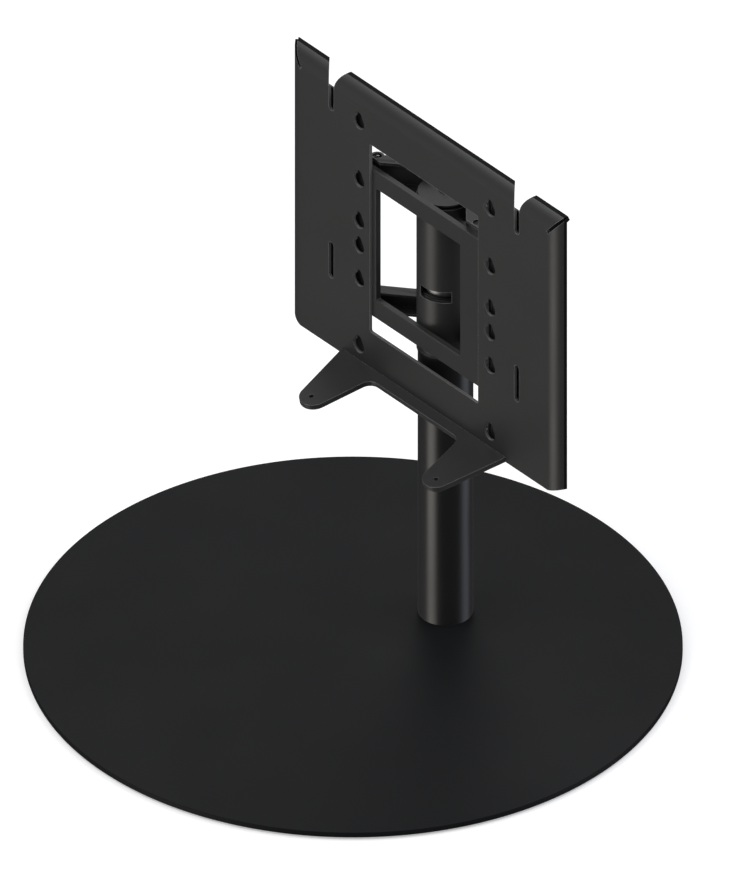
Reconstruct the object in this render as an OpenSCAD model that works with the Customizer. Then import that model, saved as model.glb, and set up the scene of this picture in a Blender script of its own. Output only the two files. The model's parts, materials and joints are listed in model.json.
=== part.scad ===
// Floor stand for a flat screen: a round steel floor plate, a pole set behind its centre
// and a swivelling head that carries the drilled mounting plate and its front ears.
// The origin is on the floor under the middle of the floor plate. The head faces -Y.

/* [Floor plate] */
// Diameter of the floor plate
base_d = 655; // [500:5:800]
// Thickness of the floor plate
base_t = 6; // [5:0.5:12]
// Chamfer round the rim of the floor plate
base_chamfer = 0.8; // [0.2:0.1:1.5]
// Number of foot pads
foot_count = 8; // [4:1:12]
// Diameter of a foot pad
foot_d = 30; // [16:1:50]
// Height of a foot pad
foot_h = 2; // [1:0.5:6]
// Distance from the rim of the plate to the edge of a foot pad
foot_inset = 12; // [4:1:60]

/* [Pole] */
// Distance from the middle of the floor plate back to the axis of the pole
pole_back = 109.7; // [70:1:180]
// Turn of the floor plate against the head, in degrees
base_turn = 7.5; // [0:0.5:15]
// Outer diameter of the pole
pole_d = 55.5; // [50:0.5:60]
// Wall of the pole
pole_wall = 3; // [2:0.5:4]
// Length of the pole
pole_len = 319; // [200:1:600]
// Thickness of the foot welded in the bottom of the pole
pole_foot_t = 14; // [10:1:25]
// Thread diameter of the screws that hold the pole
base_screw_d = 8; // [5:0.5:9]
// Pitch circle of the screws that hold the pole
base_screw_pcd = 32; // [26:1:34]

/* [Swivel] */
// Outer diameter of the spindle
spindle_d = 44; // [36:0.5:46]
// Length of the spindle's plug inside the pole
plug_len = 30; // [15:1:60]
// Outer diameter of the sleeve
sleeve_d = 58; // [56:0.5:64]
// Wall of the sleeve
sleeve_wall = 4; // [2.5:0.5:5]
// Depth of the sleeve's upper end below the upper edge of the carrier frame
sleeve_drop = 9.5; // [4:0.5:16]
// Thickness of the lower bush's flange
lower_flange_t = 3.7; // [2:0.1:6]
// Length of the lower bush inside the sleeve
lower_bush_len = 70.5; // [30:0.5:90]
// Diameter of the upper bush's flange
upper_flange_d = 53; // [52:0.5:56]
// Thickness of the upper bush's flange
upper_flange_t = 2.7; // [1.5:0.1:5]
// Length of the upper bush inside the sleeve
upper_bush_len = 30; // [15:1:50]
// Diameter of the top cap
cap_d = 56; // [50:0.5:60]
// Thickness of the top cap
cap_t = 2; // [1.5:0.1:5]
// Thread diameter of the cap's screw
cap_screw_d = 8; // [5:0.5:10]
// Swivel to each side of straight ahead, in degrees
swivel_half = 30; // [10:1:60]
// Diameter of the stop screw
stop_d = 6; // [4:0.5:8]
// Height of the stop screw over the lower end of the sleeve
stop_rise = 115; // [95:1:130]
// Depth of the stop groove in the spindle
stop_depth = 4; // [2:0.5:6]
// Width of the slot in the sleeve
slot_w = 33.8; // [15:0.1:40]
// Height of the slot in the sleeve
slot_h = 13; // [6:0.5:20]
// Height of the slot over the lower end of the sleeve
slot_rise = 68; // [55:0.5:80]
// Turn of the slot from the front of the head towards its right, in degrees
slot_turn = 25.7; // [0:0.1:40]

/* [Carrier] */
// Thickness of the carrier frame
frame_t = 6.5; // [4:0.5:10]
// Width of the carrier frame
frame_w = 182; // [172:1:184]
// Height of the carrier frame
frame_h = 177.5; // [160:0.5:190]
// Height of the frame's lower edge over the lower end of the sleeve
frame_rise = 12; // [8:0.5:20]
// Height of the frame's lower bar
low_bar_h = 22; // [14:0.5:28]
// Height of the frame's upper bar
up_bar_h = 21; // [14:0.5:28]
// Width of the opening in the frame
opening_w = 128; // [100:1:136]
// Corner radius of the opening in the frame
opening_r = 1.5; // [0.5:0.5:6]
// Angle of the arms from straight ahead, in degrees
arm_angle = 50; // [45:0.5:53]
// Distance of an arm's open side from the line through the pole
arm_offset = 19.8; // [16:0.2:22]
// Depth of an arm's channel, across the arm
arm_depth = 15.6; // [12:0.2:18]
// Height of a lower arm's channel
low_arm_h = 25.5; // [18:0.5:28]
// Height of an upper arm's channel
up_arm_h = 35.5; // [24:0.5:40]
// Sheet thickness of an arm
arm_t = 3; // [2:0.5:4]
// Height of a lower arm over the lower edge of the frame
low_arm_rise = 1.5; // [0.5:0.25:4]
// Height of an upper arm over the upper edge of the frame
up_arm_over = 7.5; // [2:0.5:10]
// Distance of an arm's rear end from the pole's axis, along the arm
arm_start = 12; // [8:0.5:16]
// Radius of the lug on an upper arm
lug_r = 7.2; // [6:0.1:7.2]
// Diameter of the hole in a lug
lug_hole_d = 9.6; // [5:0.1:10]
// Distance of a lug's hole from the pole's axis, along the arm
lug_reach = 73.9; // [72:0.1:76]
// Distance of a lug's hole inside the outer face of the arm
lug_in = 4.6; // [1:0.1:5]

/* [Mounting plate] */
// Sheet thickness of the mounting plate
plate_t = 3; // [2:0.5:4]
// Width of the flat of the plate, between its side bends
plate_w = 378; // [360:1:420]
// Height of the flat of the plate, below its top bend
plate_h = 312; // [306:1:340]
// Distance of the plate's middle from the pole, towards its right
plate_shift = 12.6; // [5:0.1:20]
// Depth of the plate's lower edge below the sleeve
plate_drop = 54; // [40:0.5:58]
// Outer radius of the side curls
side_r = 22.5; // [15:0.5:30]
// Outer radius of the top curl
top_r = 28; // [18:0.5:35]
// Sweep of the curls, in degrees
curl_sweep = 55; // [35:1:75]
// Gap at the mitred corners
mitre_gap = 3.5; // [1:0.5:6]
// Lap of the web behind a mitred corner, past each side of the gap
mitre_lap = 1; // [0.5:0.5:3]
// Rise of the side curls' lower ends, at their outer edge
curl_taper = 7; // [0.5:0.5:14]
// Width of the window
window_w = 165; // [150:1:172]
// Height of the window
window_h = 226.5; // [200:0.5:235]
// Height of the window over the plate's lower edge
window_rise = 48.5; // [44:0.5:60]
// Corner radius of the window
window_r = 2; // [0.5:0.5:6]
// Spacing of the two columns of keyholes
column_w = 200; // [196:1:204]
// Distance of the top row of keyholes below the top bend
top_row_drop = 20; // [18:0.5:22]
// Diameter of a keyhole's entry
key_d = 15; // [12:0.5:16]
// Width of a keyhole's neck
neck_w = 8.5; // [5:0.5:10]
// Rise from a keyhole's entry to the end of its neck
neck_rise = 7; // [5:0.5:9]
// Spacing of the outer slots and notches
outer_slot_w = 283.2; // [276:0.2:290]
// Width of the outer slots and notches
slit_w = 7.5; // [5:0.5:10]
// Height of the outer slots over the plate's lower edge
slit_rise = 82; // [60:1:100]
// Length of the outer slots
slit_len = 43.5; // [25:0.5:60]
// Depth of the notches below the top bend
notch_drop = 27.5; // [15:0.5:35]
// Width of the notches at the rear edge of the top curl
notch_top_w = 33; // [20:1:40]

/* [Rails and ears] */
// Width of a stiffening rail
rail_w = 63.5; // [60:0.5:66]
// Depth of a stiffening rail
rail_d = 6; // [5:0.5:6]
// Sheet thickness of a rail
rail_t = 2; // [1.5:0.5:2.5]
// Distance of a rail's inner side from the middle of the plate
rail_inset = 92.5; // [92:0.5:94]
// Gap between a rail's lower end and the plate's lower edge
rail_gap = 2; // [1:0.5:13]
// Gap between a rail's upper end and the plate's top bend
rail_top_gap = 6; // [1:0.5:13]
// Thickness of the ear bracket
ear_t = 6; // [4:0.5:8]
// Forward fall of the ear bracket, in degrees
ear_slope = 10.7; // [0:0.1:20]
// Width of the ear bracket where it meets the plate
ear_w = 250; // [230:1:300]
// Reach of the bracket between its ears
ear_web = 12; // [8:0.5:20]
// Distance between the roots of the ears, on their inner sides
ear_root_w = 135.8; // [120:0.2:145]
// Distance between the round tips of the ears
ear_tip_w = 188; // [184:0.5:200]
// Reach of the centre of an ear's round tip
ear_reach = 64; // [45:0.5:90]
// Radius of an ear's tip
ear_tip_r = 15.5; // [12:0.5:18]
// Radius of the fillet at an ear's root
ear_fillet = 12; // [6:0.5:16]
// Diameter of the hole in an ear
ear_hole_d = 5; // [3:0.5:10]
// Distance of an ear's hole past the centre of its tip
ear_hole_out = 3; // [0:0.5:6]

/* [Hidden] */
$fn = 72;
// Overrun of a cutter past the face that it cuts
cut = 2;
// Gap between the turning head and the fixed pole and cap
turn_gap = 0.3;
// Radial clearance of the spindle in its bushes
run_gap = 0.05;
// Radial clearance of a screw in its thread and of the stop screw in its groove
thread_gap = 0.05;
// Gap between the frame and the sleeve
frame_gap = 0.5;
// Small edge breaks on turned pieces
edge_break = 0.5;
// Heights of a countersunk head, of a button head and of its socket
cap_head_h = 4;
socket_depth = 2.5;
// Share of a thread's diameter that its hexagonal socket takes, corner to corner
socket_share = 0.62;
// Head diameter of a screw as a share of its thread diameter
head_share = 2;
cap_head_share = 1.75;
// Clearance holes, past the screw's radius
hole_gap = 0.2;
// Bite of the web behind a mitred corner into the inner side of the curls
web_bite = 0.3;
// Depth of the cap screw's thread in the spindle
cap_screw_len = 22;
// Drops of the keyhole rows below the top row
row_drops = [0, 70, 120, 150, 190, 270];

base_top = foot_h + base_t;
pole_x = pole_back * sin(base_turn);
pole_y = pole_back * cos(base_turn);
pole_top = base_top + pole_len;
pole_bore_r = pole_d / 2 - pole_wall;
sleeve_z = pole_top + turn_gap + lower_flange_t;
sleeve_len = frame_rise + frame_h - sleeve_drop;
sleeve_top = sleeve_z + sleeve_len;
sleeve_bore_r = sleeve_d / 2 - sleeve_wall;
bush_bore_r = spindle_d / 2 + run_gap;
cap_z = sleeve_top + upper_flange_t + turn_gap;

frame_y = -sleeve_d / 2 - frame_gap;
frame_z = sleeve_z + frame_rise;
arm_out = arm_offset + arm_depth;
low_arm_z = frame_z + low_arm_rise;
up_arm_z = frame_z + frame_h + up_arm_over - up_arm_h;

plate_back = frame_y - frame_t;
plate_z = sleeve_z - plate_drop;
bend_x = plate_w / 2;
curl_out = side_r * sin(curl_sweep);
curl_rise = top_r * sin(curl_sweep);
curl_back = top_r * (1 - cos(curl_sweep)) + plate_t;
mitre_len = norm([curl_out, curl_rise]);
mitre_drop = mitre_gap / 2 * mitre_len / curl_out;
mitre_shift = mitre_gap / 2 * mitre_len / curl_rise;
ear_root_h = ear_t / cos(ear_slope);

// Moves a shape drawn round the pole's axis to the pole
module at_pole() {
    translate([pole_x, pole_y, 0]) children();
}

// Repeats a shape at the screws under the pole
module at_base_screws() {
    for (i = [0:3])
        rotate([0, 0, 45 - base_turn + 90 * i])
            translate([base_screw_pcd / 2, 0, 0])
                children();
}

// A flat outline, drawn as seen from the front, made into a sheet with its back at y
module upright_sheet(y, t) {
    translate([0, y, 0])
        rotate([90, 0, 0])
            linear_extrude(height = t)
                children();
}

module rounded_rectangle(w, h, r) {
    union() {
        translate([r, 0]) square([w - 2 * r, h]);
        translate([0, r]) square([w, h - 2 * r]);
        for (x = [r, w - r])
            for (y = [r, h - r])
                translate([x, y]) circle(r = r);
    }
}

// Hexagonal recess for a key, opening upwards at height zero
module key_socket(d) {
    translate([0, 0, -socket_depth])
        cylinder(h = socket_depth + cut, d = d * socket_share, $fn = 6);
}

// Floor plate with the countersunk holes for the pole's screws
module base_plate() {
    r = base_d / 2;
    head_r = base_screw_d / 2 * head_share;
    hole_r = base_screw_d / 2 + hole_gap;
    color("#2b2c2e")
        difference() {
            rotate_extrude($fn = 180)
                polygon([[0, foot_h],
                         [r - base_chamfer, foot_h],
                         [r, foot_h + base_chamfer],
                         [r, base_top - base_chamfer],
                         [r - base_chamfer, base_top],
                         [0, base_top]]);
            at_pole() at_base_screws() {
                translate([0, 0, foot_h])
                    cylinder(h = head_r - hole_r, r1 = head_r, r2 = hole_r);
                translate([0, 0, foot_h - cut])
                    cylinder(h = base_t + 2 * cut, r = hole_r);
            }
        }
}

// Ring of foot pads near the rim
module base_feet() {
    ring_r = base_d / 2 - foot_inset - foot_d / 2;
    color("#151515")
        for (i = [0:foot_count - 1])
            rotate([0, 0, 360 / foot_count * (i + 1 / 2)])
                translate([ring_r, 0, 0])
                    rotate_extrude()
                        polygon([[0, 0],
                                 [foot_d / 2 - foot_h / 2, 0],
                                 [foot_d / 2, foot_h],
                                 [0, foot_h]]);
}

module pole_tube() {
    color("#303133")
        at_pole()
            translate([0, 0, base_top])
                difference() {
                    cylinder(h = pole_len, d = pole_d);
                    translate([0, 0, -cut])
                        cylinder(h = pole_len + 2 * cut, r = pole_bore_r);
                }
}

// Thick disc welded in the bottom of the pole, with the threads for its screws
module pole_foot() {
    color("#3a3a3c")
        at_pole()
            translate([0, 0, base_top])
                difference() {
                    cylinder(h = pole_foot_t, r = pole_bore_r);
                    at_base_screws()
                        translate([0, 0, -cut])
                            cylinder(h = pole_foot_t + 2 * cut, r = base_screw_d / 2 + thread_gap);
                }
}

// Countersunk screws from below, flush with the underside of the floor plate
module base_screws() {
    head_r = base_screw_d / 2 * head_share;
    color("#6c6e70")
        at_pole() at_base_screws()
            difference() {
                union() {
                    translate([0, 0, foot_h])
                        cylinder(h = head_r - base_screw_d / 2, r1 = head_r, r2 = base_screw_d / 2);
                    translate([0, 0, foot_h])
                        cylinder(h = base_t + pole_foot_t, d = base_screw_d);
                }
                translate([0, 0, foot_h])
                    mirror([0, 0, 1]) key_socket(base_screw_d);
            }
}

// Stepped spindle: a plug in the pole, a turned shaft with the groove for the stop screw
module spindle() {
    r = spindle_d / 2;
    floor_r = r - stop_depth;
    half = swivel_half + asin((stop_d / 2 + thread_gap) / floor_r);
    groove_h = stop_d + 4 * thread_gap;
    color("#5b5d5f")
        at_pole()
            difference() {
                rotate_extrude()
                    polygon([[0, pole_top - plug_len],
                             [pole_bore_r - edge_break, pole_top - plug_len],
                             [pole_bore_r, pole_top - plug_len + edge_break],
                             [pole_bore_r, pole_top],
                             [r, pole_top],
                             [r, cap_z - edge_break],
                             [r - edge_break, cap_z],
                             [0, cap_z]]);
                translate([0, 0, cap_z - cap_screw_len])
                    cylinder(h = cap_screw_len + cut, r = cap_screw_d / 2 + thread_gap);
                rotate([0, 0, 90 - base_turn - half])
                    rotate_extrude(angle = 2 * half)
                        translate([floor_r, sleeve_z + stop_rise - groove_h / 2])
                            square([stop_depth + cut, groove_h]);
            }
}

// Outer turning tube of the head
module sleeve() {
    r = sleeve_d / 2;
    color("#2e2f31")
        at_pole()
            difference() {
                rotate_extrude()
                    polygon([[sleeve_bore_r, sleeve_z],
                             [r - edge_break, sleeve_z],
                             [r, sleeve_z + edge_break],
                             [r, sleeve_top - edge_break],
                             [r - edge_break, sleeve_top],
                             [sleeve_bore_r, sleeve_top]]);
                rotate([0, 0, slot_turn - 90])
                    translate([0, -slot_w / 2, sleeve_z + slot_rise])
                        cube([r + cut, slot_w, slot_h]);
                translate([0, 0, sleeve_z + stop_rise])
                    rotate([-90, 0, 0])
                        cylinder(h = r + cut, r = stop_d / 2 + thread_gap);
            }
}

// Flanged bush at the lower end of the sleeve; its long body ends inside the slot
module lower_bush() {
    color("#1b1b1c")
        at_pole()
            rotate_extrude()
                polygon([[bush_bore_r, sleeve_z - lower_flange_t],
                         [sleeve_d / 2, sleeve_z - lower_flange_t],
                         [sleeve_d / 2, sleeve_z],
                         [sleeve_bore_r, sleeve_z],
                         [sleeve_bore_r, sleeve_z + lower_bush_len],
                         [bush_bore_r, sleeve_z + lower_bush_len]]);
}

module upper_bush() {
    color("#1b1b1c")
        at_pole()
            rotate_extrude()
                polygon([[bush_bore_r, sleeve_top + upper_flange_t],
                         [upper_flange_d / 2, sleeve_top + upper_flange_t],
                         [upper_flange_d / 2, sleeve_top],
                         [sleeve_bore_r, sleeve_top],
                         [sleeve_bore_r, sleeve_top - upper_bush_len],
                         [bush_bore_r, sleeve_top - upper_bush_len]]);
}

// Headless screw through the back of the sleeve, with its tip in the spindle's groove
module stop_screw() {
    tip_r = spindle_d / 2 - stop_depth + 2 * turn_gap;
    end_r = sleeve_d / 2 - turn_gap;
    color("#6c6e70")
        at_pole()
            translate([0, 0, sleeve_z + stop_rise])
                rotate([-90, 0, 0])
                    difference() {
                        translate([0, 0, tip_r])
                            cylinder(h = end_r - tip_r, d = stop_d);
                        translate([0, 0, end_r])
                            key_socket(stop_d);
                    }
}

// Steel disc that keeps the head on the spindle
module top_cap() {
    r = cap_d / 2;
    color("#2e2f31")
        at_pole()
            rotate_extrude()
                polygon([[cap_screw_d / 2 + hole_gap, cap_z],
                         [r, cap_z],
                         [r, cap_z + cap_t - edge_break],
                         [r - edge_break, cap_z + cap_t],
                         [cap_screw_d / 2 + hole_gap, cap_z + cap_t]]);
}

// Button-headed screw in the middle of the cap
module cap_screw() {
    head_r = cap_screw_d / 2 * cap_head_share;
    ball_r = (head_r * head_r + cap_head_h * cap_head_h) / (2 * cap_head_h);
    shank = cap_screw_len - edge_break + cap_t;
    color("#6c6e70")
        at_pole()
            translate([0, 0, cap_z + cap_t])
                difference() {
                    union() {
                        intersection() {
                            translate([0, 0, cap_head_h - ball_r]) sphere(r = ball_r);
                            cylinder(h = cap_head_h - edge_break, r = head_r);
                        }
                        translate([0, 0, -shank])
                            cylinder(h = shank, d = cap_screw_d);
                    }
                    translate([0, 0, cap_head_h - edge_break])
                        key_socket(cap_screw_d);
                }
}

// Carrier frame: one plate with an opening that is centred on the pole
module carrier_frame() {
    color("#303133")
        at_pole()
            upright_sheet(frame_y, frame_t)
                difference() {
                    translate([plate_shift - frame_w / 2, frame_z])
                        square([frame_w, frame_h]);
                    translate([-opening_w / 2, frame_z + low_bar_h])
                        rounded_rectangle(opening_w, frame_h - low_bar_h - up_bar_h, opening_r);
                }
}

// Channel arm on the right of the pole: from the sleeve, round which it is coped,
// to the back of the frame. The open side of the channel faces the front.
module arm(z, h, lug) {
    reach = (arm_out + sleeve_d + frame_t) * 2;
    difference() {
        translate([0, 0, z])
            rotate([0, 0, arm_angle - 90])
                difference() {
                    union() {
                        translate([arm_start, arm_offset, 0])
                            cube([reach, arm_depth, h]);
                        if (lug)
                            translate([lug_reach, arm_out - lug_in, h - arm_t])
                                cylinder(h = arm_t, r = lug_r);
                    }
                    translate([arm_start - cut, arm_offset - cut, arm_t])
                        cube([reach + 2 * cut, arm_depth - arm_t + cut, h - 2 * arm_t]);
                    if (lug)
                        translate([lug_reach, arm_out - lug_in, h - arm_t])
                            cylinder(h = arm_t + cut, d = lug_hole_d);
                }
        translate([0, 0, z - cut])
            cylinder(h = h + 2 * cut, d = sleeve_d);
        translate([-reach, frame_y - reach * 2, z - cut])
            cube([reach * 4, reach * 2, h + 2 * cut]);
    }
}

module arm_upper_right() {
    color("#2e2f31")
        at_pole() arm(up_arm_z, up_arm_h, true);
}

module arm_upper_left() {
    color("#2e2f31")
        at_pole() mirror([1, 0, 0]) arm(up_arm_z, up_arm_h, true);
}

module arm_lower_right() {
    color("#2e2f31")
        at_pole() arm(low_arm_z, low_arm_h, false);
}

module arm_lower_left() {
    color("#2e2f31")
        at_pole() mirror([1, 0, 0]) arm(low_arm_z, low_arm_h, false);
}

// Keyhole with its entry at the origin and its neck above
module keyhole() {
    circle(d = key_d);
    translate([-neck_w / 2, 0]) square([neck_w, neck_rise]);
    translate([0, neck_rise]) circle(d = neck_w);
}

// Slot with round ends, from its lower end upwards
module slit(length) {
    translate([0, slit_w / 2]) circle(d = slit_w);
    translate([-slit_w / 2, slit_w / 2]) square([slit_w, length - slit_w]);
    translate([0, length - slit_w / 2]) circle(d = slit_w);
}

// Moves a shape drawn from the middle of the plate's lower edge, at its back, to the plate
module at_plate() {
    translate([pole_x + plate_shift, pole_y + plate_back, plate_z]) children();
}

// Flat of the mounting plate, seen from the front
module plate_flat() {
    difference() {
        translate([-bend_x, 0]) square([plate_w, plate_h]);
        translate([-window_w / 2, window_rise])
            rounded_rectangle(window_w, window_h, window_r);
        for (side = [-1, 1]) {
            for (drop = row_drops)
                translate([side * column_w / 2, plate_h - top_row_drop - drop])
                    keyhole();
            translate([side * outer_slot_w / 2, slit_rise])
                slit(slit_len);
            translate([side * outer_slot_w / 2, plate_h - notch_drop])
                slit(notch_drop + slit_w);
        }
    }
}

// Top curl: a sheet rolled back over the top bend, mitred at its ends and notched
module top_curl() {
    half = bend_x - mitre_shift;
    difference() {
        intersection() {
            translate([0, top_r - plate_t, plate_h])
                rotate([90, 0, -90])
                    rotate_extrude(angle = curl_sweep)
                        translate([top_r - plate_t, -bend_x - curl_out])
                            square([plate_t, plate_w + 2 * curl_out]);
            upright_sheet(curl_back - plate_t + cut, curl_back + 2 * cut)
                polygon([[-half, plate_h],
                         [half, plate_h],
                         [half + 2 * curl_out, plate_h + 2 * curl_rise],
                         [-half - 2 * curl_out, plate_h + 2 * curl_rise]]);
        }
        for (side = [-1, 1])
            translate([side * outer_slot_w / 2, -plate_t, plate_h - cut])
                linear_extrude(height = curl_rise + 2 * cut)
                    notch();
    }
}

// Notch in the top curl, seen from above: a slot that spreads towards the curl's rear edge
module notch() {
    polygon([[-slit_w / 2, -cut],
             [slit_w / 2, -cut],
             [slit_w / 2, 0],
             [notch_top_w - slit_w / 2, 2 * (curl_back - plate_t)],
             [slit_w / 2 - notch_top_w, 2 * (curl_back - plate_t)],
             [-slit_w / 2, 0]]);
}

// Web behind the gap of the right mitre, seated on the inner sides of both curls
module mitre_web() {
    half = mitre_gap / 2 + mitre_lap;
    run = mitre_len * (side_r - plate_t) / side_r;
    intersection() {
        upright_sheet((top_r - plate_t) * (1 - cos(curl_sweep)), curl_back)
            translate([bend_x, plate_h])
                rotate([0, 0, atan2(curl_rise, curl_out)])
                    translate([-mitre_lap, -half])
                        square([run + mitre_lap, 2 * half]);
        translate([0, top_r - plate_t, plate_h])
            rotate([0, 90, 0])
                cylinder(h = bend_x + 2 * curl_out, r = top_r - plate_t + web_bite);
        translate([bend_x, side_r - plate_t, 0])
            cylinder(h = plate_h + 2 * curl_rise, r = side_r - plate_t + web_bite);
    }
}

// Side curl on the right, mitred at its top and tapered at its lower end
module side_curl() {
    intersection() {
        translate([bend_x, side_r - plate_t, 0])
            rotate([0, 0, -90])
                rotate_extrude(angle = curl_sweep)
                    translate([side_r - plate_t, 0])
                        square([plate_t, plate_h + curl_rise]);
        upright_sheet(curl_back - plate_t + cut, curl_back + 2 * cut)
            polygon([[bend_x, 0],
                     [bend_x + 2 * curl_out, 2 * curl_taper],
                     [bend_x + 2 * curl_out, plate_h + 2 * curl_rise - mitre_drop],
                     [bend_x, plate_h - mitre_drop]]);
    }
}

// Drilled mounting plate with its rolled top and sides
module tv_plate() {
    color("#333436")
        at_plate()
            union() {
                upright_sheet(0, plate_t) plate_flat();
                top_curl();
                for (side = [0, 1])
                    mirror([side, 0, 0]) {
                        side_curl();
                        mitre_web();
                    }
            }
}

// Shallow channel behind a column of keyholes, on the right of the plate
module rail() {
    inner_w = rail_w - 2 * rail_t;
    translate([rail_inset, 0, rail_gap])
        linear_extrude(height = plate_h - rail_gap - rail_top_gap)
            difference() {
                union() {
                    square([rail_w, rail_d - rail_t]);
                    translate([rail_t, 0]) square([inner_w, rail_d]);
                    for (x = [rail_t, rail_w - rail_t])
                        translate([x, rail_d - rail_t]) circle(r = rail_t);
                }
                translate([rail_t, -cut])
                    square([inner_w, rail_d - rail_t + cut]);
            }
}

module rail_right() {
    color("#2e2f31")
        at_plate() rail();
}

module rail_left() {
    color("#2e2f31")
        at_plate() mirror([1, 0, 0]) rail();
}

// Point where the tangent from p touches a circle; side is 1 or -1
function touch_point(p, centre, r, side) =
    let (d = centre - p,
         span = norm(d),
         along = sqrt(span * span - r * r),
         angle = atan2(d[1], d[0]) + side * asin(r / span))
    p + along * [cos(angle), sin(angle)];

// Half of the ear bracket's outline: across the plate, then forwards along the slope
module ear_half() {
    outer = [ear_w / 2, 0];
    root = [ear_root_w / 2, ear_web];
    tip = [ear_tip_w / 2, ear_reach];
    outer_touch = touch_point(outer, tip, ear_tip_r, -1);
    inner_touch = touch_point(root, tip, ear_tip_r, 1);
    inner_angle = atan2(inner_touch[1] - root[1], inner_touch[0] - root[0]);
    half = (180 - inner_angle) / 2;
    fillet_centre = root + ear_fillet / sin(half) * [cos(180 - half), sin(180 - half)];
    fillet_run = ear_fillet / tan(half);
    difference() {
        union() {
            polygon([[0, -ear_t],
                     [ear_w / 2, -ear_t],
                     outer,
                     outer_touch,
                     tip,
                     inner_touch,
                     root,
                     [0, ear_web]]);
            translate(tip) circle(r = ear_tip_r);
            difference() {
                polygon([root,
                         root + fillet_run * [cos(inner_angle), sin(inner_angle)],
                         fillet_centre,
                         root - [fillet_run, 0]]);
                translate(fillet_centre) circle(r = ear_fillet);
            }
        }
        translate(tip + [ear_hole_out / 3, ear_hole_out]) circle(d = ear_hole_d);
    }
}

// Bracket with two ears, butted on the front of the plate at its lower edge
module ear_bracket() {
    color("#36383a")
        at_plate()
            translate([0, -plate_t, 0])
                difference() {
                    translate([0, 0, ear_root_h])
                        rotate([180 + ear_slope, 0, 0])
                            linear_extrude(height = ear_t) {
                                ear_half();
                                mirror([1, 0]) ear_half();
                            }
                    translate([-ear_w, 0, -ear_t])
                        cube([2 * ear_w, 3 * ear_t, 4 * ear_t]);
                }
}

base_plate();
base_feet();
pole_tube();
pole_foot();
base_screws();
spindle();
lower_bush();
upper_bush();
stop_screw();
top_cap();
cap_screw();
sleeve();
carrier_frame();
arm_upper_left();
arm_upper_right();
arm_lower_left();
arm_lower_right();
tv_plate();
rail_left();
rail_right();
ear_bracket();
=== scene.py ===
"""Looks of a floor stand for a flat screen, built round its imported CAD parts.

Everything is in metres, in the frame of the parts: the origin is on the floor under the
middle of the floor plate, +Z is up and the mounting plate faces -Y.
"""

import json
import math

import bmesh
import bpy
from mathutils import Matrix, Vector


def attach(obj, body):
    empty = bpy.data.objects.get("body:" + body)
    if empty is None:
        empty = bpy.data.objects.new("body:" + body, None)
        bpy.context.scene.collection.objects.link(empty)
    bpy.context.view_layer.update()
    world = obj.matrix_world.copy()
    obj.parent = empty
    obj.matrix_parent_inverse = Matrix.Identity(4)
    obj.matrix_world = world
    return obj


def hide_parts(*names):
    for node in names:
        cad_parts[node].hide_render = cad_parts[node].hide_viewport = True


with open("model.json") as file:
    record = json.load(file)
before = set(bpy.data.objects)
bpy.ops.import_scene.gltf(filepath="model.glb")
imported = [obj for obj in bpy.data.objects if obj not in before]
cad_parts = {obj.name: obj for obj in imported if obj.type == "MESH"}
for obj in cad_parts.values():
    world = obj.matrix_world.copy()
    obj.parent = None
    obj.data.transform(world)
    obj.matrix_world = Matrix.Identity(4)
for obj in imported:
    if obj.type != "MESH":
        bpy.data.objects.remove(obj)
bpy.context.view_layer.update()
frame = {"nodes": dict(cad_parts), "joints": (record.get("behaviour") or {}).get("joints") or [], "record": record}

MM = 0.001
TURN = 2 * math.pi
FRONT_TO_BACK = (TURN / 4, 0, 0)
SIDE_TO_SIDE = (0, TURN / 4, 0)
FLAT = math.radians(0.1)
UP = Vector((0, 0, 1))
OVERRUN = 2 * MM
SAME_PLACE = 0.01 * MM
NEAR = 0.05 * MM

# Pole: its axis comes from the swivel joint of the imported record
AXIS_X, AXIS_Y, _ = frame["joints"][0]["pos_m"]
POLE_AXIS = Vector((AXIS_X, AXIS_Y, 0))
POLE_R = 27.75 * MM
POLE_WALL = 3 * MM
POLE_BOTTOM = 8 * MM
POLE_TOP = 327 * MM

# Floor plate and its pads
BASE_R = 327.5 * MM
BASE_T = 6 * MM
PAD_COUNT = 8
PAD_R = 15 * MM
PAD_H = 2 * MM
PAD_RING_R = 300.5 * MM
PAD_SOLE = [
    (0, 0.4),
    (4, 0.4),
    (4.6, 0),
    (9, 0),
    (9.4, 0.5),
    (10.4, 0.5),
    (10.8, 0),
    (13.6, 0),
    (14.2, 0.3),
]
BASE_TURN = math.radians(7.5)
SCREW_COUNT = 4
SCREW_R = 4 * MM
SCREW_HEAD_R = 8 * MM
SCREW_CIRCLE_R = 16 * MM
SCREW_LENGTH = 20 * MM
SCREW_HOLE_R = 4.2 * MM
SOCKET_DEPTH = 2.5 * MM
SOCKET_R = 2.48 * MM

# Swivel
BUSH_R = 22.05 * MM
SLEEVE_R = 29 * MM
SLEEVE_BORE_R = 25 * MM
SLEEVE_BOTTOM = 331 * MM
SLEEVE_TOP = 511 * MM
LOWER_FLANGE_BOTTOM = 327.3 * MM
LOWER_BUSH_TOP = 401.5 * MM
UPPER_BUSH_BOTTOM = 481 * MM
UPPER_FLANGE_R = 26.5 * MM
UPPER_FLANGE_TOP = 513.7 * MM
CAP_R = 28 * MM
CAP_BOTTOM = 514 * MM
CAP_TOP = 516 * MM
CAP_HOLE_R = 4.2 * MM
CAP_HEAD_R = 7 * MM
CAP_HEAD_H = 3.5 * MM
CAP_DOME_H = 4 * MM
CAP_SCREW_LEN = 23.5 * MM
STOP_R = 3 * MM
STOP_Z = 446 * MM
STOP_TIP = 18.6 * MM
STOP_END = 28.7 * MM
STOP_HOLE_R = 3.05 * MM
STOP_SOCKET_R = 1.86 * MM
SLOT_W = 33.8 * MM
SLOT_BOTTOM = 399 * MM
SLOT_H = 13 * MM
SLOT_TURN = math.radians(25.7)

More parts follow.
